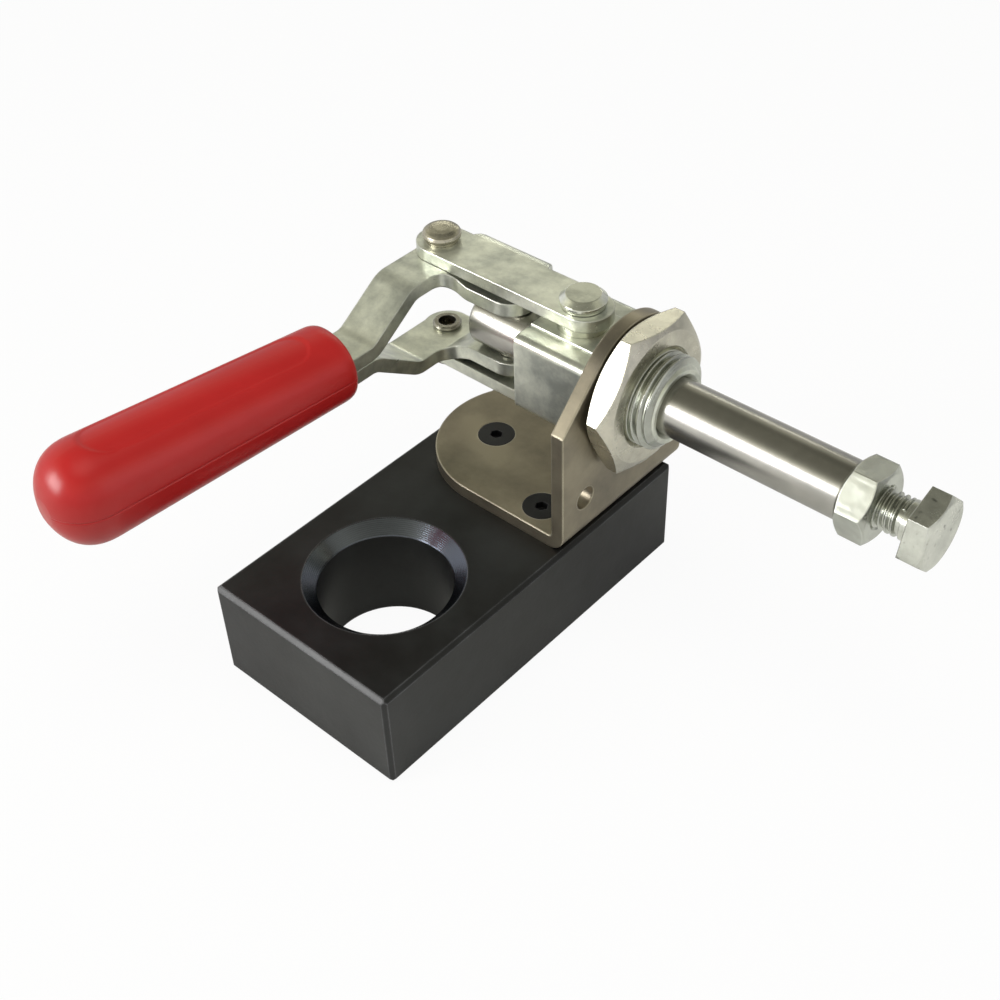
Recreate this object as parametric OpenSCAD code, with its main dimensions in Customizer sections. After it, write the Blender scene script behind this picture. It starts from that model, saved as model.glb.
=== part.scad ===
// Welding table fixture clamp
// A push-pull toggle clamp held by a bent steel bracket on a block with a bore
// that drops over a pin in a welding table. The clamp pushes along +X.
// The origin is on the axis of the bore, level with the underside of the block.

/* [Block] */
// Width of the block, along the push of the clamp
block_w = 48; // [46:0.5:54]
// Length of the block
block_l = 89; // [86:0.5:100]
// Height of the block
block_h = 24; // [20:0.5:30]
// Distance from the axis of the bore to the near end of the block
bore_to_end = 24.5; // [22:0.5:28]
// Diameter of the bore
bore_d = 28; // [20:0.5:30]
// Chamfer at the mouth of the bore
bore_chamfer = 2.8; // [1:0.1:4]
// Chamfer on the edges of the block
block_edge = 0.9; // [0.5:0.1:1.5]

/* [Bracket] */
// Thickness of the bracket plate
plate_t = 3; // [2.5:0.1:4]
// Width of the bracket
bracket_w = 39.6; // [38:0.2:46]
// Middle of the bracket, from the axis of the bore
bracket_y = 47.2; // [46:0.1:50]
// Distance from the front of the flange to the middle of the round end
bracket_reach = 26.8; // [22:0.2:28]
// Radius of the bend, at the middle of the plate
bend_r = 2.4; // [2:0.1:4]
// Diameter of the spare hole in the flange
spare_hole_d = 5.2; // [4:0.1:6]
// Spare hole from the axis of the clamp, across and down
spare_hole_at = [-14.8, -19.7];
// Diameter of the screws that hold the bracket
screw_d = 4; // [3:0.5:5]
// Length of those screws
screw_l = 12; // [10:1:16]

/* [Clamp body] */
// Distance of the axis of the plunger from the middle of the bracket
clamp_off = 2.1; // [0:0.1:2.5]
// Axis of the plunger, above the underside of the block
clamp_z = 54.15; // [50:0.05:60]
// Length of the body behind the flange
body_l = 18; // [16:0.5:24]
// Width of the body
body_w = 23.8; // [20:0.2:26]
// Height of the body
body_h = 17.8; // [16:0.2:18.2]
// Radius along the edges of the body
body_r = 1.6; // [1:0.1:4]
// Width of the flats that are milled on its top and underside
pad_w = 13; // [12:0.2:15]
// Diameter of the threaded nose
nose_d = 20; // [18:0.5:22]
// Length of the nose in front of the flange
nose_l = 10.8; // [10:0.2:15]
// Depth of the thread on the nose
thread_depth = 0.9; // [0.6:0.1:1.2]
// Width of the nose nut across its flats
nose_nut_af = 30; // [27:0.5:34]
// Thickness of the nose nut
nose_nut_t = 6; // [4:0.5:8]

/* [Plunger] */
// Diameter of the plunger
plunger_d = 12; // [10:0.2:12.4]
// How far the plunger stands out in front of the flange
plunger_out = 49.9; // [48:0.5:56]
// How far the plunger runs on behind its cross pin
plunger_tail = 7.5; // [6:0.1:9]
// Diameter of the cross pin
cross_pin_d = 6; // [4:0.2:7]
// Distance from the axis to the flats that the forks ride on
plunger_flat = 5.7; // [4.6:0.1:5.8]
// Diameter of the thread of the spindle
spindle_d = 8; // [6:0.5:8]
// Width of the spindle's nut and head across their flats
spindle_af = 14; // [13:0.2:16]
// Thickness of the spindle's nut
spindle_nut_t = 6.5; // [5:0.5:8]
// Gap between the spindle's nut and head
spindle_gap = 7.1; // [4:0.2:14]
// Height of the spindle's head
spindle_head_t = 4.6; // [4:0.1:6]

/* [Links and handle] */
// Length of the links, between their pivots
link_l = 38; // [36:0.5:42]
// Distance from the elbow to the cross pin
crank_r = 19; // [17:0.5:21]
// Width of the links
link_w = 11; // [10:0.2:12]
// How far a link runs on beyond its pivot in the body, past half its width
link_lead = 0.9; // [0:0.1:1.5]
// Thickness of the links
link_t = 2.7; // [2.4:0.1:3.2]
// Width of the forks, from the elbow to the cross pin
fork_w = 10.6; // [10:0.2:10.8]
// Width of the arms behind the elbow
arm_w = 10; // [9:0.2:10.6]
// Thickness of the arms
arm_t = 3.1; // [2.5:0.1:3.4]
// Distance from the axis of the plunger to the inner face of an arm at the elbow
arm_level = 7.9; // [7.8:0.1:8.4]
// Distance from the elbow to the first bend of an arm
arm_bend_1 = 14; // [12:0.5:15]
// Distance from the elbow to the second bend of an arm
arm_bend_2 = 26; // [24:0.5:28]
// Diameter of the pivots in the body
pivot_d = 7; // [6:0.2:8]
// Diameter of the rivets at the elbow
elbow_d = 5; // [4:0.2:6]

/* [Grip] */
// Distance from the elbow to the front of the grip
grip_start = 32; // [30:0.5:34]
// Length of the grip
grip_l = 66.8; // [60:0.2:80]
// Angle of the grip to the arms, in plan
grip_turn = 6.5; // [0:0.5:9]
// Distance of the grip's middle from the middle of the tangs
grip_shift = 1.5; // [0:0.1:2.5]
// Width of the grip at its front and rear
grip_w = [17.7, 20];
// Height of the grip at its front and rear
grip_h = [15.7, 22];
// Length of the tangs inside the grip
tang_l = 46; // [40:1:52]

/* [Hidden] */

$fn = 64;
// Gap between flat faces that slide on each other
slide_gap = 0.1;
// Radial clearance of a pivot, and of the plunger in its bore
running_gap = 0.04;
// Radial clearance of a screw in its hole
screw_gap = 0.05;
// Gap between the plunger and the forks, which holds the ends of the cross pin
fork_gap = 0.3;

// Axis of the plunger, from the axis of the bore
clamp_y = bracket_y + clamp_off;

// Places along X
flange_front = block_w / 2;
flange_rear = flange_front - plate_t;
body_rear = flange_rear - body_l;
nose_end = flange_front + nose_l;
pivot_x = flange_rear - body_l * 0.55;
elbow_x = pivot_x - link_l;
cross_pin_x = elbow_x + crank_r;
plunger_rear = cross_pin_x - plunger_tail;
plunger_front = flange_front + plunger_out;
spindle_head_x = plunger_front + spindle_nut_t + spindle_gap;

// Levels above the axis of the plunger
pad_level = body_h * 0.517;
fork_level = plunger_flat + fork_gap;
link_level = arm_level + arm_t + slide_gap;
spacer_top = link_level - slide_gap;
link_top = link_level + link_t;
pivot_head_t = link_t;
elbow_head_t = link_t * 1.07;
pivot_depth = (pad_level - plunger_d / 2) * 0.88;

// Bracket outline
bracket_round = bracket_w / 2;
flange_round = 15.3;
bracket_top = clamp_z + flange_round;

// Screws of the bracket, from the middle of its round end
screw_at = [[-6.7, -2.2], [16.2, -13.9], [16.2, 13.9]];
screw_head_d = screw_d * 2.05;
screw_head_t = (screw_head_d - screw_d) / 2;
screw_hex = screw_d * 0.625;

// Stop tab that is folded down from each link, measured from the elbow
stop_from = link_w * 0.36;
stop_to = link_l * 0.645;
stop_ramp = link_t;
stop_inner = fork_w / 2 + link_t * 0.4;
stop_drop = link_level - arm_level * 0.91;

// End of the plunger's flats, in front of the cross pin
flat_front = cross_pin_d * 1.5;

function unit(v) = v / norm(v);
function left(v) = [-v[1], v[0]];
function turn(u, w) = atan2(u[0] * w[1] - u[1] * w[0], u * w);

// Points round a bend at corner b of the path a-b-c, offset d to the left of the path
function bend(a, b, c, r, d, steps) =
    let (u = unit(b - a), w = unit(c - b), t = turn(u, w), s = sign(t))
    let (centre = b + (left(u) + left(w)) * s * r / (1 + u * w))
    let (start = atan2(left(u)[1], left(u)[0]))
    [for (i = [0:steps]) centre - s * (r - s * d) * [cos(start + t * i / steps), sin(start + t * i / steps)]];

// One side of a bent plate whose middle follows a path
function bent_side(path, r, d, steps) =
    let (last = len(path) - 1)
    concat([path[0] + left(unit(path[1] - path[0])) * d],
           [for (i = [1:last - 1]) each bend(path[i - 1], path[i], path[i + 1], r, d, steps)],
           [path[last] + left(unit(path[last] - path[last - 1])) * d]);

function reversed(list) = [for (i = [len(list) - 1:-1:0]) list[i]];

// Section of a plate of thickness t, bent with radius r at each corner of its path
module bent_plate(path, t, r, steps = 6) {
    polygon(concat(bent_side(path, r, t / 2, steps), reversed(bent_side(path, r, -t / 2, steps))));
}

// Rectangle with its corners cut off at 45 degrees
module chamfered_rect(a, b, c) {
    polygon([[a[0] + c, a[1]], [b[0] - c, a[1]], [b[0], a[1] + c], [b[0], b[1] - c],
             [b[0] - c, b[1]], [a[0] + c, b[1]], [a[0], b[1] - c], [a[0], a[1] + c]]);
}

// Rectangle with round corners, about the origin
module rounded_rect(w, h, r) {
    square([w - 2 * r, h], center = true);
    square([w, h - 2 * r], center = true);
    for (x = [-1, 1], y = [-1, 1])
        translate([x * (w / 2 - r), y * (h / 2 - r)]) circle(r);
}

// Slot shape between two points on the X axis
module slot_shape(x0, x1, r) {
    translate([x0, -r]) square([x1 - x0, 2 * r]);
    translate([x0, 0]) circle(r);
    translate([x1, 0]) circle(r);
}

// Moves what is drawn along Z onto the axis of the plunger, starting at x
module on_axis(x) {
    translate([x, clamp_y, clamp_z]) rotate([0, 90, 0]) children();
}

// Stretches a shape drawn in the Y-Z plane along X
module extrude_x(x0, x1) {
    translate([x0, 0, 0]) rotate([90, 0, 90]) linear_extrude(x1 - x0) children();
}

// Stretches a shape drawn in the X-Z plane along Y
module extrude_y(y0, y1) {
    translate([0, y1, 0]) rotate([90, 0, 0]) linear_extrude(y1 - y0) children();
}

// Upper half of the linkage as drawn, or its mirror image below the plunger
module half(side) {
    translate([0, clamp_y, clamp_z]) mirror([0, 0, side == "lower" ? 1 : 0]) children();
}

// Hexagon prism with its corners turned down at 30 degrees to a round face
module hexagon(af, t, front = true, back = false, round = 0.985) {
    r = af / sqrt(3);
    face = af / 2 * round;
    drop = (r - face) * tan(30);
    intersection() {
        cylinder(r = r, h = t, $fn = 6);
        rotate_extrude()
            polygon([[0, 0], [back ? face : r, 0], [r, back ? drop : 0], [r, front ? t - drop : t],
                     [front ? face : r, t], [0, t]]);
    }
}

// Block of black-oxided steel with the bore for the table's pin
module mounting_block() {
    a = [-block_w / 2, -bore_to_end, 0];
    b = [block_w / 2, block_l - bore_to_end, block_h];
    color([0.13, 0.13, 0.14])
    difference() {
        intersection() {
            linear_extrude(block_h) chamfered_rect([a[0], a[1]], [b[0], b[1]], block_edge);
            extrude_x(a[0], b[0]) chamfered_rect([a[1], 0], [b[1], block_h], block_edge);
            extrude_y(a[1], b[1]) chamfered_rect([a[0], 0], [b[0], block_h], block_edge);
        }
        translate([0, 0, -1]) cylinder(d = bore_d, h = block_h + 2);
        translate([0, 0, block_h - bore_chamfer])
            cylinder(d1 = bore_d, d2 = bore_d + 2 * bore_chamfer + 0.2, h = bore_chamfer + 0.1);
        for (p = screw_at)
            translate([flange_front - bracket_reach + p[0], bracket_y + p[1], block_h + plate_t - screw_l - 1])
                cylinder(d = screw_d + 2 * screw_gap, h = screw_l);
    }
}

// Outline of the bracket's base, with its round end away from the flange
module base_outline() {
    translate([flange_front - bracket_reach, bracket_y]) circle(bracket_round);
    translate([flange_front - bracket_reach, bracket_y - bracket_round]) square([bracket_reach, bracket_w]);
}

// Outline of the flange, round about the nose and sloped down to its shoulders
module flange_outline() {
    reach = flange_round * sin(45);
    shoulder = [bracket_y - bracket_round, bracket_y + bracket_round];
    drop = [for (y = shoulder) flange_round * sqrt(2) - abs(y - clamp_y)];
    translate([clamp_y, clamp_z]) circle(flange_round);
    polygon([[shoulder[0], block_h], [shoulder[1], block_h], [shoulder[1], clamp_z + drop[1]],
             [clamp_y + reach, clamp_z + reach], [clamp_y - reach, clamp_z + reach],
             [shoulder[0], clamp_z + drop[0]]]);
}

// Bent bracket of plated steel that carries the clamp
module angle_bracket() {
    middle = plate_t / 2;
    y0 = bracket_y - bracket_round;
    y1 = bracket_y + bracket_round;
    color([0.52, 0.48, 0.41])
    difference() {
        intersection() {
            extrude_y(y0 - 1, y1 + 1)
                bent_plate([[flange_front - bracket_reach - bracket_round - 1, block_h + middle],
                            [flange_front - middle, block_h + middle],
                            [flange_front - middle, bracket_top + 1]], plate_t, bend_r, 8);
            linear_extrude(bracket_top + 1) base_outline();
            extrude_x(-block_w * 2, flange_front) flange_outline();
        }
        on_axis(flange_rear - 1) cylinder(d = nose_d + 2 * screw_gap, h = plate_t + 2);
        translate([0, spare_hole_at[0], spare_hole_at[1]])
            on_axis(flange_rear - 1) cylinder(d = spare_hole_d, h = plate_t + 2);
        for (p = screw_at)
            translate([flange_front - bracket_reach + p[0], bracket_y + p[1], block_h]) {
                translate([0, 0, -1]) cylinder(d = screw_d + 2 * screw_gap, h = plate_t + 2);
                translate([0, 0, plate_t - screw_head_t])
                    cylinder(d1 = screw_d + 2 * screw_gap, d2 = screw_head_d + 2 * screw_gap, h = screw_head_t);
                translate([0, 0, plate_t]) cylinder(d = screw_head_d + 2 * screw_gap, h = 1);
            }
    }
}

// Countersunk screw with a hexagon socket
module base_screw(p) {
    color([0.09, 0.09, 0.1])
    translate([flange_front - bracket_reach + p[0], bracket_y + p[1], block_h + plate_t])
    difference() {
        union() {
            translate([0, 0, -screw_head_t]) cylinder(d1 = screw_d, d2 = screw_head_d, h = screw_head_t);
            translate([0, 0, -screw_l]) cylinder(d = screw_d, h = screw_l - screw_head_t);
        }
        translate([0, 0, -screw_head_t * 0.8]) cylinder(d = screw_hex / cos(30), h = screw_head_t, $fn = 6);
    }
}

module base_screw_rear() {
    base_screw(screw_at[0]);
}

module base_screw_near() {
    base_screw(screw_at[1]);
}

module base_screw_far() {
    base_screw(screw_at[2]);
}

// Zinc-plated body with milled flats, a threaded nose and the bore for the plunger
module clamp_body() {
    bore_r = plunger_d / 2 + running_gap;
    root_r = nose_d / 2 - thread_depth;
    nut_front = flange_front + nose_nut_t;
    color([0.72, 0.74, 0.66])
    difference() {
        union() {
            on_axis(body_rear) linear_extrude(body_l) rounded_rect(body_h, body_w, body_r);
            on_axis(body_rear) linear_extrude(body_l) square([2 * pad_level, pad_w], center = true);
            on_axis(flange_rear) cylinder(d = nose_d, h = plate_t + nose_nut_t);
            on_axis(nut_front) cylinder(r = root_r, h = nose_end - nut_front - 1.5);
            on_axis(nose_end - 1.5) cylinder(r1 = root_r, r2 = root_r - 1.3, h = 1.5);
        }
        on_axis(body_rear - 1) cylinder(r = bore_r, h = nose_end - body_rear + 2);
        on_axis(nose_end - 0.9) cylinder(r1 = bore_r, r2 = bore_r + 1.1, h = 1.1);
        for (side = ["upper", "lower"])
            half(side) translate([pivot_x, 0, pad_level - pivot_depth]) cylinder(d = pivot_d, h = pivot_depth + 1);
    }
}

// Thin nut that clamps the body to the flange
module nose_nut() {
    color([0.78, 0.78, 0.74])
    on_axis(flange_front)
    difference() {
        rotate([0, 0, 24]) hexagon(nose_nut_af, nose_nut_t, true, true, 0.94);
        translate([0, 0, -1]) cylinder(d = nose_d, h = nose_nut_t + 2);
        translate([0, 0, nose_nut_t - thread_depth]) cylinder(d1 = nose_d, d2 = nose_d + 2.4 * thread_depth, h = 1.2 * thread_depth);
    }
}

// Ground steel plunger, cross drilled at its rear and tapped at its front
module plunger() {
    edge = 0.8;
    length = plunger_front - plunger_rear;
    tapped = spindle_d * 3;
    color([0.62, 0.62, 0.6])
    difference() {
        on_axis(plunger_rear)
            rotate_extrude()
                polygon([[0, 0], [plunger_d / 2 - edge, 0], [plunger_d / 2, edge], [plunger_d / 2, length - edge / 2],
                         [plunger_d / 2 - edge / 2, length], [0, length]]);
        on_axis(plunger_front - tapped) cylinder(d = spindle_d, h = tapped + 1);
        translate([cross_pin_x, clamp_y, clamp_z - plunger_d]) cylinder(d = cross_pin_d, h = 2 * plunger_d);
        for (side = ["upper", "lower"])
            half(side) translate([plunger_rear - 1, -plunger_d, plunger_flat])
                cube([cross_pin_x + flat_front - plunger_rear + 1, 2 * plunger_d, plunger_d]);
    }
}

// Pin across the plunger, cut short of the forks to leave that pivot open
module cross_pin() {
    color([0.5, 0.5, 0.5])
    translate([cross_pin_x, clamp_y, clamp_z]) cylinder(d = cross_pin_d, h = 2 * plunger_flat + fork_gap, center = true);
}

// Lock nut of the spindle
module spindle_nut() {
    color([0.8, 0.8, 0.76])
    on_axis(plunger_front)
    difference() {
        rotate([0, 0, 21]) hexagon(spindle_af, spindle_nut_t, true, true, 0.93);
        translate([0, 0, -1]) cylinder(d = spindle_d, h = spindle_nut_t + 2);
        translate([0, 0, spindle_nut_t - spindle_d * 0.08]) cylinder(d1 = spindle_d, d2 = spindle_d * 1.2, h = spindle_d * 0.1);
    }
}

// Adjustable spindle, a bolt whose head presses on the work
module spindle_bolt() {
    inside = spindle_d * 2.2;
    shank = inside + spindle_nut_t + spindle_gap;
    root_d = spindle_d * 0.84;
    color([0.78, 0.78, 0.74]) {
        on_axis(plunger_front - inside) cylinder(d = spindle_d, h = inside + spindle_nut_t);
        on_axis(plunger_front) cylinder(d = root_d, h = spindle_nut_t + spindle_gap);
        on_axis(spindle_head_x - spindle_gap * 0.3) cylinder(d = spindle_d, h = spindle_gap * 0.3);
        on_axis(plunger_front - inside + shank) rotate([0, 0, 46]) hexagon(spindle_af, spindle_head_t, round = 0.96);
    }
}

// Headed pin that holds a link to the body
module pivot(side) {
    head = pivot_d * [0.645, 0.693, 0.514];
    collar = pivot_head_t * [0.18, 0.3, 0.55];
    color([0.75, 0.76, 0.68])
    half(side) translate([pivot_x, 0, 0]) {
        translate([0, 0, pad_level - pivot_depth]) cylinder(d = pivot_d, h = link_top + slide_gap - pad_level + pivot_depth);
        translate([0, 0, link_top + slide_gap])
            rotate_extrude()
                polygon([[0, 0], [head[0], 0], [head[0], collar[0]], [head[1], collar[1]],
                         [head[1], collar[2]], [head[2], pivot_head_t], [0, pivot_head_t]]);
    }
}

module upper_pivot() {
    pivot("upper");
}

module lower_pivot() {
    pivot("lower");
}

// Spacer washer between the body and a link
module spacer(side) {
    color([0.7, 0.7, 0.66])
    half(side) translate([pivot_x, 0, pad_level])
    difference() {
        cylinder(d = link_w - 0.4, h = spacer_top - pad_level);
        translate([0, 0, -1]) cylinder(d = pivot_d + 2 * screw_gap, h = spacer_top - pad_level + 2);
    }
}

module upper_spacer() {
    spacer("upper");
}

module lower_spacer() {
    spacer("lower");
}

// Stamped link with round ends and a stop tab folded down beside the fork
module link(side) {
    tab_y = stop_inner + link_t / 2;
    middle = link_level + link_t / 2;
    color([0.74, 0.75, 0.63])
    half(side) translate([elbow_x, 0, 0])
    difference() {
        union() {
            translate([0, 0, link_level]) linear_extrude(link_t) slot_shape(0, link_l + link_lead, link_w / 2);
            intersection() {
                extrude_x(stop_from, stop_to)
                    bent_plate([[0, middle], [tab_y, middle], [tab_y, link_level - stop_drop]], link_t, link_t * 0.7, 5);
                linear_extrude(link_top)
                    polygon([[stop_from, 0], [stop_to, 0], [stop_to, link_w / 2], [stop_to - stop_ramp, tab_y + link_t],
                             [stop_from + stop_ramp, tab_y + link_t], [stop_from, link_w / 2]]);
            }
        }
        translate([0, 0, link_level - 1]) cylinder(d = elbow_d, h = link_t + 2);
        translate([link_l, 0, link_level - 1]) cylinder(d = pivot_d + 2 * running_gap, h = link_t + 2);
    }
}

module upper_link() {
    link("upper");
}

module lower_link() {
    link("lower");
}

// Rivet at the elbow, domed on the link and rolled over as a tube inside the arm
module elbow_rivet(side) {
    roll_r = elbow_d * 0.63;
    tube_r = elbow_d * 0.39;
    roll_t = elbow_d * 0.21;
    t = elbow_head_t;
    color([0.66, 0.65, 0.58])
    half(side) translate([elbow_x, 0, 0])
    difference() {
        union() {
            translate([0, 0, arm_level - slide_gap]) cylinder(d = elbow_d, h = link_top - arm_level + slide_gap);
            translate([0, 0, arm_level - slide_gap - roll_t])
                rotate_extrude()
                    polygon([[0, 0], [roll_r * 0.89, 0], [roll_r, roll_t / 3], [roll_r, roll_t * 0.7],
                             [roll_r * 0.92, roll_t], [0, roll_t]]);
            translate([0, 0, link_top])
                rotate_extrude()
                    polygon([[0, 0], [elbow_d * 0.7, 0], [elbow_d * 0.7, t * 0.2], [elbow_d * 0.8, t * 0.31],
                             [elbow_d * 0.83, t * 0.52], [elbow_d * 0.79, t * 0.72], [elbow_d * 0.7, t * 0.86],
                             [elbow_d * 0.54, t * 0.96], [elbow_d * 0.28, t], [0, t]]);
        }
        translate([0, 0, arm_level - 3]) cylinder(r = tube_r, h = arm_t + 3);
    }
}

module upper_elbow_rivet() {
    elbow_rivet("upper");
}

module lower_elbow_rivet() {
    elbow_rivet("lower");
}

// Moves to the start of the grip, with Y pointing back along the grip
module at_grip() {
    translate([elbow_x, clamp_y - grip_start, clamp_z]) rotate([0, 0, 180 - grip_turn]) children();
}

// Outline of an arm in plan, with the elbow at the origin
module arm_outline(inner_r = 4) {
    slot_shape(0, crank_r, fork_w / 2);
    translate([-arm_w / 2, -grip_start]) square([arm_w, grip_start]);
    translate([arm_w / 2 - 0.01, -fork_w / 2 - inner_r])
        difference() {
            square(inner_r + 0.01);
            translate([inner_r, 0]) circle(inner_r);
        }
}

// Stamped arm, dropped to the plunger at its fork and cranked in to meet its twin in the grip
module arm(side) {
    level = arm_level + arm_t / 2;
    tang = slide_gap / 2 + arm_t / 2;
    color([0.68, 0.7, 0.6])
    half(side)
    difference() {
        union() {
            translate([elbow_x, 0, 0])
            intersection() {
                extrude_y(-fork_w / 2 - 4, fork_w / 2)
                    bent_plate([[-fork_w, level], [6, level], [11, fork_level + arm_t / 2],
                                [crank_r + fork_w, fork_level + arm_t / 2]], arm_t, 3, 3);
                linear_extrude(level + arm_t)
                    difference() {
                        arm_outline();
                        translate([-arm_w, -grip_start - 1]) square([2 * arm_w, grip_start - fork_w / 2 - 3]);
                    }
            }
            translate([elbow_x, 0, 0])
            intersection() {
                extrude_x(-arm_w / 2, arm_w / 2)
                    bent_plate([[fork_w / 2, level], [-arm_bend_1, level], [-arm_bend_2, tang],
                                [-grip_start - 2, tang]], arm_t, 5, 6);
                linear_extrude(level + arm_t)
                    translate([-arm_w / 2, -grip_start]) square([arm_w, grip_start]);
            }
            translate([elbow_x, -grip_start, slide_gap / 2])
                rotate([0, 0, 180 - grip_turn])
                    linear_extrude(arm_t) {
                        circle(arm_w / 2);
                        slot_shape_y(0, tang_l - arm_w / 2, arm_w / 2);
                    }
        }
        translate([elbow_x, 0, arm_level - 1]) cylinder(d = elbow_d + 2 * running_gap, h = arm_t + 2);
        translate([cross_pin_x, 0, fork_level - 1]) cylinder(d = cross_pin_d, h = arm_t + 2);
        for (y = tang_rivets)
            translate([elbow_x, -grip_start, -1]) rotate([0, 0, 180 - grip_turn]) translate([0, y, 0])
                cylinder(d = tang_rivet_d, h = arm_t + 2);
    }
}

tang_rivet_d = 4;
tang_rivets = [tang_l * 0.3, tang_l * 0.75];

// Slot shape between two points on the Y axis
module slot_shape_y(y0, y1, r) {
    rotate([0, 0, 90]) slot_shape(y0, y1, r);
}

module upper_arm() {
    arm("upper");
}

module lower_arm() {
    arm("lower");
}

// Rivet through both tangs, hidden in the grip
module tang_rivet(y) {
    reach = arm_t + slide_gap / 2;
    color([0.6, 0.6, 0.58])
    at_grip() translate([0, y, 0]) {
        cylinder(d = tang_rivet_d, h = 2 * reach, center = true);
        for (z = [reach, -reach - 0.8])
            translate([0, 0, z]) cylinder(d = tang_rivet_d * 1.6, h = 0.8);
    }
}

module tang_rivet_front() {
    tang_rivet(tang_rivets[0]);
}

module tang_rivet_rear() {
    tang_rivet(tang_rivets[1]);
}

// Sections of the grip: place along it, and share of its full width and height
grip_steps = 22;
grip_round = 34;
grip_nose = 2.6;
grip_butt = 10.9;

function grip_share(y) =
    y < grip_nose ? 0.86 + 0.14 * sqrt(max(0, 1 - pow(1 - y / grip_nose, 2)))
    : y > grip_l - grip_butt ? sqrt(max(0, 1 - pow((y - grip_l + grip_butt) / grip_butt, 2.4)))
    : 1;

// Stations are close together where the ends turn in
function grip_station(i) =
    let (t = i / grip_steps)
    t < 0.2 ? grip_nose * pow(t / 0.2, 2)
    : t < 0.45 ? grip_nose + (grip_l - grip_butt - grip_nose) * (t - 0.2) / 0.25
    : grip_l - grip_butt + (grip_butt - 0.25) * sin(90 * (t - 0.45) / 0.55);

function grip_section(y) =
    let (k = grip_share(y), f = y / grip_l)
    let (a = k * (grip_w[0] + (grip_w[1] - grip_w[0]) * f) / 2)
    let (b = k * (grip_h[0] + (grip_h[1] - grip_h[0]) * f) / 2)
    [for (j = [0:grip_round - 1])
        let (t = 360 * j / grip_round, c = cos(t), s = sin(t))
        [a * sign(c) * pow(abs(c), 0.85), y, b * sign(s) * pow(abs(s), 0.85)]];

// Red moulded grip over the tangs, fuller towards its rear
module handle_grip() {
    n = grip_round;
    points = [for (i = [0:grip_steps]) each grip_section(grip_station(i))];
    last = grip_steps * n;
    faces = concat([[for (j = [0:n - 1]) j]],
                   [for (i = [0:grip_steps - 1], j = [0:n - 1])
                       [i * n + j, (i + 1) * n + j, (i + 1) * n + (j + 1) % n, i * n + (j + 1) % n]],
                   [[for (j = [n - 1:-1:0]) last + j]]);
    pocket = 2 * arm_t + slide_gap;
    color([0.72, 0.1, 0.12])
    at_grip()
    difference() {
        translate([grip_shift, 0, 0]) polyhedron(points, faces);
        translate([-arm_w / 2 - 0.2, -1, -pocket / 2]) cube([arm_w + 0.4, tang_l + 1.2, pocket]);
        for (y = tang_rivets)
            translate([0, y, 0]) cylinder(d = tang_rivet_d * 1.6 + 0.2, h = pocket + 1.6, center = true);
    }
}

mounting_block();
angle_bracket();
base_screw_rear();
base_screw_near();
base_screw_far();
clamp_body();
nose_nut();
plunger();
cross_pin();
spindle_nut();
spindle_bolt();
upper_pivot();
lower_pivot();
upper_spacer();
lower_spacer();
upper_link();
lower_link();
upper_elbow_rivet();
lower_elbow_rivet();
upper_arm();
lower_arm();
tang_rivet_front();
tang_rivet_rear();
handle_grip();
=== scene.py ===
import math

import bmesh
import bpy
from mathutils import Matrix, Vector


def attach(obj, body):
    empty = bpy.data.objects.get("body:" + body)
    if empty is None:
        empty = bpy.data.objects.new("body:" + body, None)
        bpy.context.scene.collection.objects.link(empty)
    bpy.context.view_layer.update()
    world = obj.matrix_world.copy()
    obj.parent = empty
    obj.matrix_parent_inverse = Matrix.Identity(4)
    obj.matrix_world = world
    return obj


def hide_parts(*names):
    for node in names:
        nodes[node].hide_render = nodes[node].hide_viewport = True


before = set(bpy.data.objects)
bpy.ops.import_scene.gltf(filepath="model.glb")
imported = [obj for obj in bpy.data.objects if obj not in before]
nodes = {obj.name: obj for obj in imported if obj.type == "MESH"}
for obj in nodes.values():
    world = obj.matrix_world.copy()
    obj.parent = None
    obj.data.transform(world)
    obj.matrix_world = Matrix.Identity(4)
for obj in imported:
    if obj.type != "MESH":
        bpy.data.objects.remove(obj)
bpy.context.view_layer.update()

# Camera: the photograph looks down on the clamp from the bore's corner of the
# block, with a 53 mm lens, tilted a little to one side.
CAMERA_PLACE = (0.1619, -0.13963, 0.23359)
CAMERA_ROUND = 42.82    # degrees about the vertical
CAMERA_DOWN = 41.92
CAMERA_TILT = -2.13
camera_data = bpy.data.cameras.new("photo_camera")
camera_data.lens = 53.18
camera_data.sensor_width = 36
camera_data.clip_start = 0.01
camera = bpy.data.objects.new("photo_camera", camera_data)
bpy.context.scene.collection.objects.link(camera)
swung = Matrix.Rotation(math.radians(CAMERA_ROUND), 4, "Z")
tipped = Matrix.Rotation(math.radians(90 - CAMERA_DOWN), 4, "X")
tilted = Matrix.Rotation(math.radians(CAMERA_TILT), 4, "Z")
camera.matrix_world = Matrix.Translation(CAMERA_PLACE) @ swung @ tipped @ tilted
bpy.context.scene.camera = camera

# Studio: a sheet of white paper under a light tent. The steel mirrors the tent, which is
# darker and warmer overhead and darker behind. The main lamp stands low at the left, plain
# ones at the right and above, and a thin strip behind draws narrow highlights.


def feed(tree, socket, value):
    """Gives a socket a number or a colour, or the output of another node."""
    if isinstance(value, bpy.types.NodeSocket):
        tree.links.new(value, socket)
    else:
        socket.default_value = value


def ranged(tree, value, start, stop, low=0.0, high=1.0, smooth=False):
    """Turns start..stop into low..high, and holds the end values beyond."""
    scale = tree.nodes.new("ShaderNodeMapRange")
    if smooth:
        scale.interpolation_type = "SMOOTHSTEP"
    for name, end in (("From Min", start), ("From Max", stop), ("To Min", low), ("To Max", high)):
        scale.inputs[name].default_value = end
    tree.links.new(value, scale.inputs["Value"])
    return scale.outputs[0]


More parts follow.
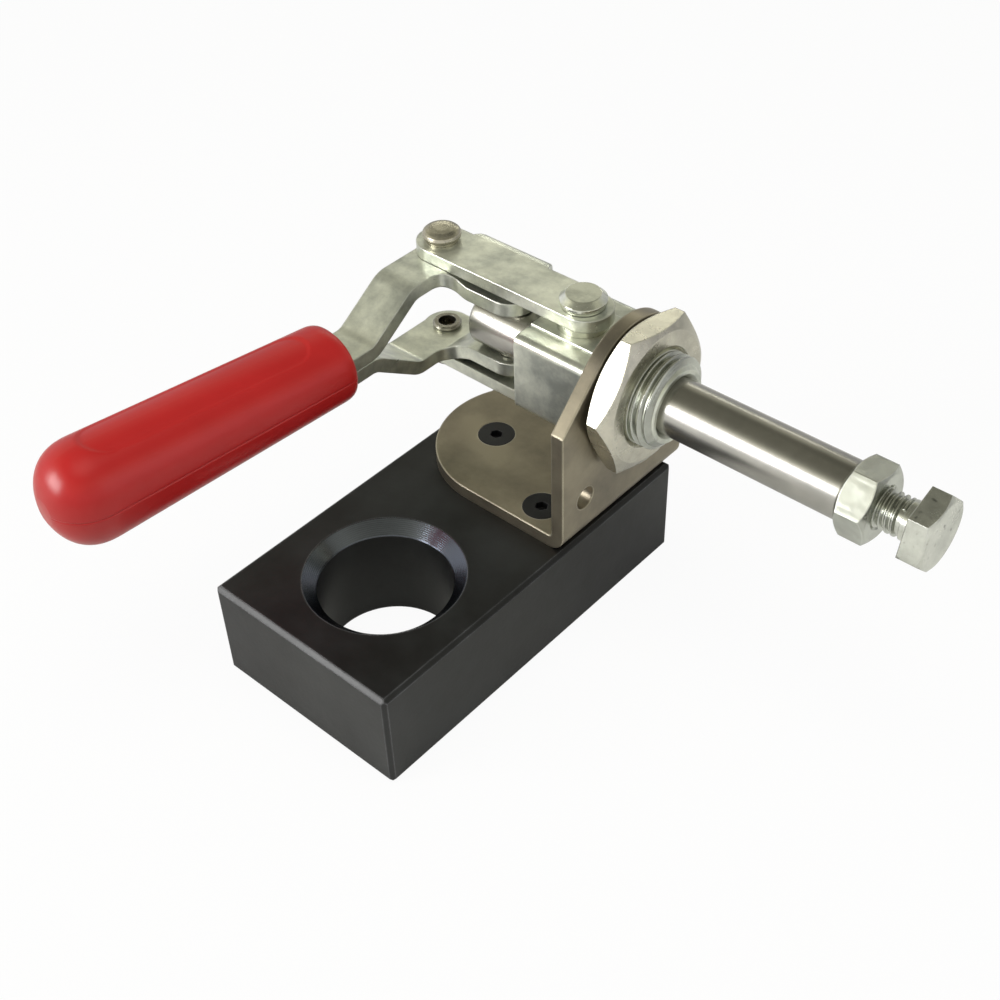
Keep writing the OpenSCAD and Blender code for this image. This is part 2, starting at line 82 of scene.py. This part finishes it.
def sums(tree, operation, *terms):
    """One step of arithmetic on numbers and outputs."""
    step = tree.nodes.new("ShaderNodeMath")
    step.operation = operation
    for socket, term in zip(step.inputs, terms):
        feed(tree, socket, term)
    return step.outputs[0]


def mixed(tree, share, first, second, colours=False):
    """The first number or colour, turned into the second by its share."""
    blend = tree.nodes.new("ShaderNodeMix")
    if colours:
        blend.data_type = "RGBA"
    feed(tree, blend.inputs["Factor"], share)
    feed(tree, blend.inputs["A"], first)
    feed(tree, blend.inputs["B"], second)
    return blend.outputs["Result"]


DIFFUSE_LIGHT = 0.42    # strength of the tent as a plain light
WARM = (1.0, 0.98, 0.76, 1)
WHITE = (1, 1, 1, 1)
bpy.context.scene.view_settings.view_transform = "Standard"
world = bpy.data.worlds.new("studio")
bpy.context.scene.world = world
world.use_nodes = True
sky = world.node_tree
sky.nodes.clear()
ray = sky.nodes.new("ShaderNodeLightPath").outputs
outward = sky.nodes.new("ShaderNodeTexCoord")
split = sky.nodes.new("ShaderNodeSeparateXYZ")
sky.links.new(outward.outputs["Generated"], split.inputs[0])
up, back = split.outputs["Z"], split.outputs["Y"]
tent = ranged(sky, up, 0.56, 0.8, 0.85, 0.2, smooth=True)
behind = ranged(sky, back, 0.1, 0.6, 1.0, 0.55, smooth=True)
mirrored = mixed(sky, ray["Is Glossy Ray"], DIFFUSE_LIGHT, sums(sky, "MULTIPLY", tent, behind))
in_view = sums(sky, "MAXIMUM", ray["Is Camera Ray"], ray["Is Transmission Ray"])
warm_share = sums(sky, "MULTIPLY", ranged(sky, up, 0.25, 0.6), ray["Is Glossy Ray"])
backdrop = sky.nodes.new("ShaderNodeBackground")
feed(sky, backdrop.inputs["Strength"], mixed(sky, in_view, mirrored, 1.0))
feed(sky, backdrop.inputs["Color"], mixed(sky, warm_share, WHITE, WARM, colours=True))
surround = sky.nodes.new("ShaderNodeOutputWorld")
sky.links.new(backdrop.outputs[0], surround.inputs["Surface"])


def soft_lamp(name, place, aim, size, watts, mirrored=True, tint=(1, 1, 1)):
    """An area lamp, turned to its aim. One that isn't mirrored leaves no shine on metal."""
    lamp = bpy.data.lights.new(name, "AREA")
    lamp.shape = "RECTANGLE"
    lamp.size, lamp.size_y = size
    lamp.energy = watts
    lamp.color = tint
    stand = bpy.data.objects.new(name, lamp)
    bpy.context.scene.collection.objects.link(stand)
    look = (Vector(aim) - Vector(place)).to_track_quat("-Z", "Y")
    stand.matrix_world = Matrix.Translation(place) @ look.to_matrix().to_4x4()
    stand.visible_glossy = mirrored


soft_lamp("key_lamp", (-0.30, -0.50, 0.25), (0, 0.03, 0.045), (0.34, 0.24), 3.0)
soft_lamp("side_lamp", (0.50, 0.10, 0.20), (0.02, 0.04, 0.04), (0.2, 0.3), 0.8, mirrored=False)
soft_lamp("top_lamp", (0.05, -0.05, 0.65), (0.0, 0.03, 0.03), (0.4, 0.4), 2.4,
          mirrored=False, tint=(1, 1, 0.9))
soft_lamp("strip_lamp", (-0.30, 0.52, 0.31), (0.02, 0.05, 0.055), (0.35, 0.022), 0.13,
          tint=(1, 0.99, 0.82))

FLOOR_DROP = 0.0002     # keeps the paper just clear of the block's underside
PAPER_SEEN = 0.94       # share of plain white where the camera sees the paper
PAPER_SHINE = 0.08      # and where metal mirrors it
floor_mesh = bpy.data.meshes.new("floor")
spread_out = bmesh.new()
bmesh.ops.create_grid(spread_out, x_segments=1, y_segments=1, size=3)
spread_out.to_mesh(floor_mesh)
spread_out.free()
floor = bpy.data.objects.new("floor", floor_mesh)
bpy.context.scene.collection.objects.link(floor)
floor.location.z = -FLOOR_DROP
paper = bpy.data.materials.new("white_paper")
paper.use_nodes = True
sheet = paper.node_tree
sheet.nodes.clear()
matt = sheet.nodes.new("ShaderNodeBsdfDiffuse")
matt.inputs["Color"].default_value = (0.6, 0.6, 0.58, 1)
glow = sheet.nodes.new("ShaderNodeEmission")
glow.inputs["Color"].default_value = WHITE
glow.inputs["Strength"].default_value = 1.0
floor_ray = sheet.nodes.new("ShaderNodeLightPath").outputs
direct = sums(sheet, "MULTIPLY", floor_ray["Is Camera Ray"], PAPER_SEEN)
glow_share = sums(sheet, "MULTIPLY_ADD", floor_ray["Is Glossy Ray"], PAPER_SHINE, direct)
part_glow = sheet.nodes.new("ShaderNodeMixShader")
sheet.links.new(glow_share, part_glow.inputs[0])
sheet.links.new(matt.outputs[0], part_glow.inputs[1])
sheet.links.new(glow.outputs[0], part_glow.inputs[2])
page = sheet.nodes.new("ShaderNodeOutputMaterial")
sheet.links.new(part_glow.outputs[0], page.inputs["Surface"])
floor_mesh.materials.append(paper)

# Block: a sawn and milled bar of steel, chemically blacked. The black is oily and dark, cloudy in
# tone, and rubbed to bare steel on the edges. The chamfer round the bore is turned, and shows the
# bluish rings of the tool.


def clouds(tree, place, scale, detail, roughness=0.5):
    """A cloudy pattern over the piece."""
    cloud = tree.nodes.new("ShaderNodeTexNoise")
    cloud.inputs["Scale"].default_value = scale
    cloud.inputs["Detail"].default_value = detail
    cloud.inputs["Roughness"].default_value = roughness
    tree.links.new(place, cloud.inputs["Vector"])
    return cloud.outputs


def bumped(tree, height, strength, distance, normal):
    """Lays a fine relief over the surface that the normal gives."""
    bump = tree.nodes.new("ShaderNodeBump")
    bump.inputs["Strength"].default_value = strength
    bump.inputs["Distance"].default_value = distance
    tree.links.new(height, bump.inputs["Height"])
    tree.links.new(normal, bump.inputs["Normal"])
    return bump.outputs[0]


def plated(name, tone, shade, roughness, metallic, rim=None, rim_width=0.0004, rim_gain=6.0,
           patch=55, grain=0.06, uneven=0.08, ripple=0.0, pits=0.0):
    """A plated or blacked finish: cloudy in tone and shine, fine in grain, paler on worn edges."""
    made = bpy.data.materials.new(name)
    made.use_nodes = True
    tree = made.node_tree
    shader = tree.nodes["Principled BSDF"]
    shader.inputs["Metallic"].default_value = metallic
    place = tree.nodes.new("ShaderNodeTexCoord").outputs["Object"]
    cloud = clouds(tree, place, patch, 6, 0.65)
    spread = ranged(tree, cloud["Fac"], 0.36, 0.64)
    colour = mixed(tree, spread, (*shade, 1), (*tone, 1), colours=True)
    rub = ranged(tree, cloud["Color"], 0.0, 1.0, max(0.05, roughness - uneven), roughness + uneven)
    eased = tree.nodes.new("ShaderNodeBevel")
    eased.samples = 6
    eased.inputs["Radius"].default_value = rim_width
    fine = clouds(tree, place, 900, 2)
    skin = bumped(tree, fine["Fac"], grain, 0.0001, eased.outputs[0])
    if ripple:
        wave = clouds(tree, place, 160, 2)
        skin = bumped(tree, wave["Fac"], ripple, 0.0006, skin)
    if rim:
        flat = tree.nodes.new("ShaderNodeNewGeometry")
        turn = tree.nodes.new("ShaderNodeVectorMath")
        turn.operation = "DOT_PRODUCT"
        tree.links.new(eased.outputs[0], turn.inputs[0])
        tree.links.new(flat.outputs["True Normal"], turn.inputs[1])
        worn = ranged(tree, turn.outputs["Value"], 0.995, 0.995 - 0.6 / rim_gain)
        broken = sums(tree, "MULTIPLY_ADD", spread, 0.6, 0.4)
        kept = sums(tree, "MULTIPLY", worn, broken)
        colour = mixed(tree, kept, colour, (*rim, 1), colours=True)
    if pits:
        speck = clouds(tree, place, 620, 1)
        sunk = ranged(tree, speck["Fac"], 0.66, 0.74, 0.0, pits)
        dark = [0.25 * part for part in shade]
        colour = mixed(tree, sunk, colour, (*dark, 1), colours=True)
    tree.links.new(skin, shader.inputs["Normal"])
    tree.links.new(rub, shader.inputs["Roughness"])
    tree.links.new(colour, shader.inputs["Base Color"])
    return made


def lathe_rings(finish, centre, axis, ring, depth, chamfer=None, tone=None, roughness=0.3):
    """Adds the rings of a lathe tool about an axis. A chamfer, given by the slope and outer
    radius of its cone, keeps them to itself and bares its steel."""
    tree = finish.node_tree
    shader = tree.nodes["Principled BSDF"]
    place = tree.nodes.new("ShaderNodeTexCoord")
    centred = tree.nodes.new("ShaderNodeMapping")
    centred.inputs["Location"].default_value = [-part for part in centre]
    tree.links.new(place.outputs["Object"], centred.inputs["Vector"])
    rings = tree.nodes.new("ShaderNodeTexWave")
    rings.wave_type = "RINGS"
    rings.rings_direction = axis
    rings.inputs["Scale"].default_value = math.tau / 20 / ring
    rings.inputs["Distortion"].default_value = 1.5
    rings.inputs["Detail"].default_value = 2
    rings.inputs["Detail Scale"].default_value = 0.3
    tree.links.new(centred.outputs[0], rings.inputs["Vector"])
    height = rings.outputs["Fac"]
    if chamfer:
        slope, radius = chamfer
        flat = tree.nodes.new("ShaderNodeNewGeometry")
        facing = tree.nodes.new("ShaderNodeSeparateXYZ")
        tree.links.new(flat.outputs["True Normal"], facing.inputs[0])
        sloped = sums(tree, "COMPARE", facing.outputs["Z"], slope, 0.15)
        in_plan = tree.nodes.new("ShaderNodeVectorMath")
        in_plan.operation = "MULTIPLY"
        in_plan.inputs[1].default_value = (1, 1, 0)
        tree.links.new(centred.outputs[0], in_plan.inputs[0])
        far = tree.nodes.new("ShaderNodeVectorMath")
        far.operation = "LENGTH"
        tree.links.new(in_plan.outputs[0], far.inputs[0])
        near = sums(tree, "LESS_THAN", far.outputs["Value"], radius)
        bared = sums(tree, "MULTIPLY", sloped, near)
        height = sums(tree, "MULTIPLY", height, bared)
        for name, bare_value in (("Base Color", (*tone, 1)), ("Roughness", roughness)):
            under = shader.inputs[name].links[0].from_socket
            over = mixed(tree, bared, under, bare_value, colours=name == "Base Color")
            tree.links.new(over, shader.inputs[name])
        shine = mixed(tree, bared, shader.inputs["Metallic"].default_value, 1.0)
        tree.links.new(shine, shader.inputs["Metallic"])
    skin = shader.inputs["Normal"].links[0].from_socket
    tree.links.new(bumped(tree, height, depth, 0.0001, skin), shader.inputs["Normal"])


def give(name, finish):
    """Puts a finish on one CAD node."""
    for slot in nodes[name].material_slots:
        slot.material = finish


BORE_CHAMFER = (0.7, 0.0178)    # slope of its cone, outer radius
blacked = plated("blacked_steel", (0.012, 0.0128, 0.0135), (0.0038, 0.0038, 0.0042), 0.38, 0.2,
                 rim=(0.18, 0.18, 0.19), rim_width=0.0006, rim_gain=4, patch=60, grain=0.15,
                 uneven=0.1)
lathe_rings(blacked, (0, 0, 0), "Z", 0.0003, 0.06, chamfer=BORE_CHAMFER,
            tone=(0.13, 0.143, 0.175), roughness=0.2)
give("mounting_block", blacked)

# Base screws: three countersunk socket screws of steel, blacked like the block. They hold
# the bracket down on the block, and are sunk flush in it.
screw_black = plated("screw_black", (0.014, 0.014, 0.015), (0.008, 0.008, 0.009), 0.36, 0.4,
                     rim=(0.05, 0.05, 0.05), rim_width=0.0002, patch=200)
for name in ("base_screw_rear", "base_screw_near", "base_screw_far"):
    give(name, screw_black)

# Bracket: 3 mm sheet, punched and bent, with a dull brownish plating that is paler
# where the punch left a bright cut edge.
bracket_dull = plated("bracket_plating", (0.34, 0.30, 0.22), (0.18, 0.16, 0.125), 0.36, 0.85,
                      rim=(0.6, 0.55, 0.42), rim_width=0.0006, rim_gain=5, patch=40,
                      uneven=0.12, ripple=0.1)
give("angle_bracket", bracket_dull)

# Body, links and arms: steel with a pale, slightly yellow zinc plating, cloudy on the
# flats and brighter on the rubbed edges. The headed pivots of the links and the spacers
# under them have the same plating, smoother.
zinc = plated("pale_zinc", (0.91, 0.93, 0.81), (0.48, 0.50, 0.45), 0.30, 0.9,
              rim=(0.8, 0.8, 0.75), rim_width=0.0004, patch=100, grain=0.12, uneven=0.11,
              ripple=0.2)
for name in ("clamp_body", "upper_link", "lower_link", "upper_arm", "lower_arm"):
    give(name, zinc)
pivot_zinc = plated("pivot_zinc", (0.86, 0.88, 0.78), (0.50, 0.52, 0.47), 0.17, 0.97,
                    rim=(0.9, 0.9, 0.8), rim_width=0.0003, patch=150, grain=0.08, uneven=0.06,
                    ripple=0.12)
for name in ("upper_pivot", "lower_pivot", "upper_spacer", "lower_spacer"):
    give(name, pivot_zinc)

# Nose nut: a thin hexagon nut of steel on the body's nose, in front of the bracket. It has
# the same plating, a little browner, and is rounded at both faces.
nut_zinc = plated("nut_zinc", (0.70, 0.67, 0.57), (0.46, 0.445, 0.385), 0.27, 0.96,
                  rim=(0.9, 0.88, 0.8), rim_width=0.0004, patch=100, grain=0.1, uneven=0.1,
                  ripple=0.15)
give("nose_nut", nut_zinc)

# Spindle and its nut: an M8 bolt with a hexagon head, screwed into the end of the plunger
# and locked by the nut. Both are bright zinc. The nut is turned, and the head is forged,
# with a few pits.
CLAMP_Y, CLAMP_Z = 0.0493, 0.05415      # axis of the nose, plunger and spindle, along X
bright_zinc = plated("bright_zinc", (0.62, 0.64, 0.58), (0.44, 0.45, 0.41), 0.24, 1.0,
                     rim=(0.85, 0.85, 0.82), rim_width=0.0003, patch=110, grain=0.1,
                     uneven=0.1, ripple=0.1)
lathe_rings(bright_zinc, (0, CLAMP_Y, CLAMP_Z), "X", 0.0005, 0.05)
give("spindle_nut", bright_zinc)
forged = plated("forged_zinc", (0.74, 0.75, 0.68), (0.5, 0.51, 0.46), 0.26, 0.95,
                rim=(0.85, 0.85, 0.82), rim_width=0.0003, patch=160, grain=0.2, uneven=0.1,
                ripple=0.2, pits=0.7)
give("spindle_bolt", forged)

# Rivets and cross pin: turned steel, left bare. The forks ride on the pin across the
# plunger, and two rivets in the grip hold the tangs together. The upper rivet of the
# elbow is plated, with an olive cast.
bare = plated("bare_steel", (0.44, 0.42, 0.36), (0.3, 0.29, 0.25), 0.28, 1.0,
              rim=(0.6, 0.58, 0.52), rim_width=0.0002, patch=260, grain=0.1)
for name in ("lower_elbow_rivet", "cross_pin", "tang_rivet_front", "tang_rivet_rear"):
    give(name, bare)
olive = plated("olive_zinc", (0.60, 0.56, 0.44), (0.36, 0.34, 0.27), 0.27, 0.92,
               rim=(0.85, 0.83, 0.75), rim_width=0.0003, patch=260, grain=0.1)
give("upper_elbow_rivet", olive)

# Plunger: a ground bar of steel, bright and smooth, which slides in the bore of the body
# and is polished by it.
ground = plated("ground_steel", (0.51, 0.495, 0.46), (0.43, 0.42, 0.39), 0.26, 1.0,
                rim_width=0.0003, patch=120, grain=0.01, uneven=0.02)
give("plunger", ground)

# Threads: rolled ones, M20 x 1.5 on the nose and M8 x 1.25 on the spindle. Each is one
# ridge that climbs in a helix round the plain core of the CAD model.
THREAD_FORM = ((-0.46, -0.1), (-0.40, 0.1), (-0.08, 0.97),      # shares of the pitch along
               (0.08, 0.97), (0.40, 0.1), (0.46, -0.1))         # and of the depth outwards
NOSE_PITCH, NOSE_CREST, NOSE_ROOT = 0.0015, 0.01, 0.0091
NOSE_CONE = (0.0333, 0.0348, 0.0013)    # from, to and drop of the cone at the nose's end
SPINDLE_PITCH, SPINDLE_CREST, SPINDLE_ROOT = 0.00125, 0.004, 0.00336


def rolled_thread(name, start, stop, pitch, crest, root, turn_steps, cone=None):
    """A helical ridge round the clamp's axis, which sinks and fades along the core's cone."""
    ridge = bmesh.new()
    depth = crest - root
    corners = [ridge.verts.new((start + along * pitch, 0, root + out * depth))
               for along, out in THREAD_FORM]
    loop = [ridge.edges.new((corners[i - 1], corners[i])) for i in range(len(corners))]
    turns = (stop - start) / pitch
    steps = round(turns * turn_steps)
    bmesh.ops.spin(ridge, geom=corners + loop, angle=turns * math.tau, steps=steps,
                   axis=(1, 0, 0), cent=(0, 0, 0), dvec=((stop - start) / steps, 0, 0),
                   use_merge=False)
    open_ends = [edge for edge in ridge.edges if edge.is_boundary]
    bmesh.ops.holes_fill(ridge, edges=open_ends, sides=0)
    for vert in ridge.verts:
        out = math.hypot(vert.co.y, vert.co.z)
        past, low = 0, root
        if cone:
            cone_start, cone_stop, drop = cone
            past = min(1, max(0, (vert.co.x - cone_start) / (cone_stop - cone_start)))
            low = root - drop * past
        kept = low + min(out - root, depth * (1 - 0.8 * past))
        vert.co.y *= kept / out
        vert.co.z *= kept / out
    bmesh.ops.translate(ridge, vec=(0, CLAMP_Y, CLAMP_Z), verts=ridge.verts)
    bmesh.ops.recalc_face_normals(ridge, faces=ridge.faces)
    made = bpy.data.meshes.new(name)
    ridge.to_mesh(made)
    ridge.free()
    made.materials.append(bright_zinc)
    piece = bpy.data.objects.new(name, made)
    bpy.context.scene.collection.objects.link(piece)
    return piece


nose_thread = rolled_thread("nose_thread", 0.0290, 0.0340, NOSE_PITCH, NOSE_CREST, NOSE_ROOT, 72,
                            cone=NOSE_CONE)
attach(nose_thread, "base")

spindle_thread = rolled_thread("spindle_thread", 0.0798, 0.0849, SPINDLE_PITCH, SPINDLE_CREST,
                               SPINDLE_ROOT, 48)
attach(spindle_thread, "plunger_rod")

# Grip: hard red plastic, moulded in two halves that meet at mid height, with a shallow
# panel let into its top and underside. It is pushed over the tangs of the two arms.
GRIP_LENGTH = 0.0668
GRIP_BUTT = 0.0109              # length of the dome
GRIP_NOSE = 0.0026              # length of the rounded front
GRIP_SHIFT = 0.0015             # middle of the grip, to the side of its tangs
GRIP_WIDTH = (0.0177, 0.0200)   # at the front, at the butt
GRIP_HEIGHT = (0.0157, 0.0220)
SQUARENESS = 0.85               # 1 gives a round section
DRAFT = 0.045
SEAM = (0.0002, 0.00012)        # depth, half width
PANEL = (0.0065, 0.0565, 0.0047, 0.00028)   # from, to, half width, depth
PANEL_EDGE = 0.0001
GRIP_PLACE = (-0.0269, 0.0173, 0.05415)     # 32 mm in front of the elbow
GRIP_TURN = 173.5               # degrees, from pointing back
POCKET = (0.0052, 0.00315, 0.047)           # half width, half height, depth


def grip_swell(along):
    """How full the section is, from the rounded front to the dome of the butt."""
    if along < GRIP_NOSE:
        return 0.86 + 0.14 * math.sqrt(1 - (1 - along / GRIP_NOSE) ** 2)
    return math.sqrt(1 - max(0, (along - GRIP_LENGTH + GRIP_BUTT) / GRIP_BUTT) ** 2.4)


def grip_skin(along, angle):
    """A point of the skin: a softened rectangle, drafted from its seam, with the panel sunk."""
    share = along / GRIP_LENGTH
    swell = grip_swell(along)
    width = GRIP_WIDTH[0] + (GRIP_WIDTH[1] - GRIP_WIDTH[0]) * share
    height = GRIP_HEIGHT[0] + (GRIP_HEIGHT[1] - GRIP_HEIGHT[0]) * share
    c, s = math.cos(angle), math.sin(angle)
    x = width / 2 * swell * math.copysign(abs(c) ** SQUARENESS, c)
    z = height / 2 * swell * math.copysign(abs(s) ** SQUARENESS, s)
    x -= math.copysign(min(abs(x), DRAFT * abs(z) * swell), c)
    seam_depth, seam_half = SEAM
    x -= math.copysign(seam_depth * math.exp(-(z / seam_half) ** 2), c)
    start, stop, half, depth = PANEL
    beyond = max(start + half - along, along - stop + half, 0)
    rim = math.hypot(beyond, x) - half
    if abs(s) > 0.4:
        z -= math.copysign(depth / (1 + math.exp(min(60, rim / PANEL_EDGE))), s)
    return Vector((x + GRIP_SHIFT, along, z))


AROUND = 224
FRONT_RINGS, MIDDLE_RINGS, BUTT_RINGS = 7, 132, 34
butt_start = GRIP_LENGTH - GRIP_BUTT
stations = [GRIP_NOSE * (i / FRONT_RINGS) ** 2 for i in range(FRONT_RINGS)]
stations += [GRIP_NOSE + (butt_start - GRIP_NOSE) * i / MIDDLE_RINGS for i in range(MIDDLE_RINGS)]
stations += [butt_start + (GRIP_BUTT - 0.0003) * math.sin(math.pi / 2 * i / BUTT_RINGS)
             for i in range(BUTT_RINGS + 1)]
moulding = bmesh.new()
bmesh.ops.create_grid(moulding, x_segments=AROUND, y_segments=len(stations) - 1, size=1)
for vert in moulding.verts:
    station = stations[round((vert.co.y + 1) / 2 * (len(stations) - 1))]
    angle = math.pi * (vert.co.x + 1)
    vert.co = grip_skin(station, angle - 0.4 * math.sin(2 * angle))
bmesh.ops.remove_doubles(moulding, verts=moulding.verts, dist=1e-6)
ends = [edge for edge in moulding.edges if edge.is_boundary]
butt_rim = [edge for edge in ends if edge.verts[0].co.y > GRIP_NOSE]
front_rim = [edge for edge in ends if edge.verts[0].co.y < GRIP_NOSE]
dome = bmesh.ops.extrude_edge_only(moulding, edges=butt_rim)["geom"]
tip = [item for item in dome if isinstance(item, bmesh.types.BMVert)]
bmesh.ops.pointmerge(moulding, verts=tip, merge_co=(GRIP_SHIFT, GRIP_LENGTH - 0.00022, 0))
for face in moulding.faces:
    face.smooth = True
wide, high, deep = POCKET
mouth = bmesh.ops.extrude_edge_only(moulding, edges=front_rim)["geom"]
for vert in [item for item in mouth if isinstance(item, bmesh.types.BMVert)]:
    vert.co = (min(wide, max(-wide, vert.co.x)), 0, min(high, max(-high, vert.co.z)))
lip = [item for item in mouth if isinstance(item, bmesh.types.BMEdge) and item.is_boundary]
inner = bmesh.ops.extrude_edge_only(moulding, edges=lip)["geom"]
bottom = [item for item in inner if isinstance(item, bmesh.types.BMVert)]
bmesh.ops.translate(moulding, vec=(0, deep, 0), verts=bottom)
bmesh.ops.remove_doubles(moulding, verts=moulding.verts, dist=1e-6)
pocket_end = [edge for edge in moulding.edges if edge.is_boundary]
bmesh.ops.holes_fill(moulding, edges=pocket_end, sides=0)
bmesh.ops.dissolve_degenerate(moulding, dist=1e-7, edges=moulding.edges)
grip_turned = Matrix.Rotation(math.radians(GRIP_TURN), 4, "Z")
bmesh.ops.transform(moulding, verts=moulding.verts,
                    matrix=Matrix.Translation(GRIP_PLACE) @ grip_turned)
bmesh.ops.recalc_face_normals(moulding, faces=moulding.faces)
grip_mesh = bpy.data.meshes.new("moulded_grip")
moulding.to_mesh(grip_mesh)
moulding.free()
moulded_grip = bpy.data.objects.new("moulded_grip", grip_mesh)
bpy.context.scene.collection.objects.link(moulded_grip)
red = plated("red_plastic", (0.365, 0.012, 0.0115), (0.33, 0.0105, 0.01), 0.3, 0.0,
             rim_width=0.0002, patch=40, grain=0.03, uneven=0.04, ripple=0.04)
red.node_tree.nodes["Principled BSDF"].inputs["Specular IOR Level"].default_value = 0.38
grip_mesh.materials.append(red)
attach(moulded_grip, "handle")
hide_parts("handle_grip")
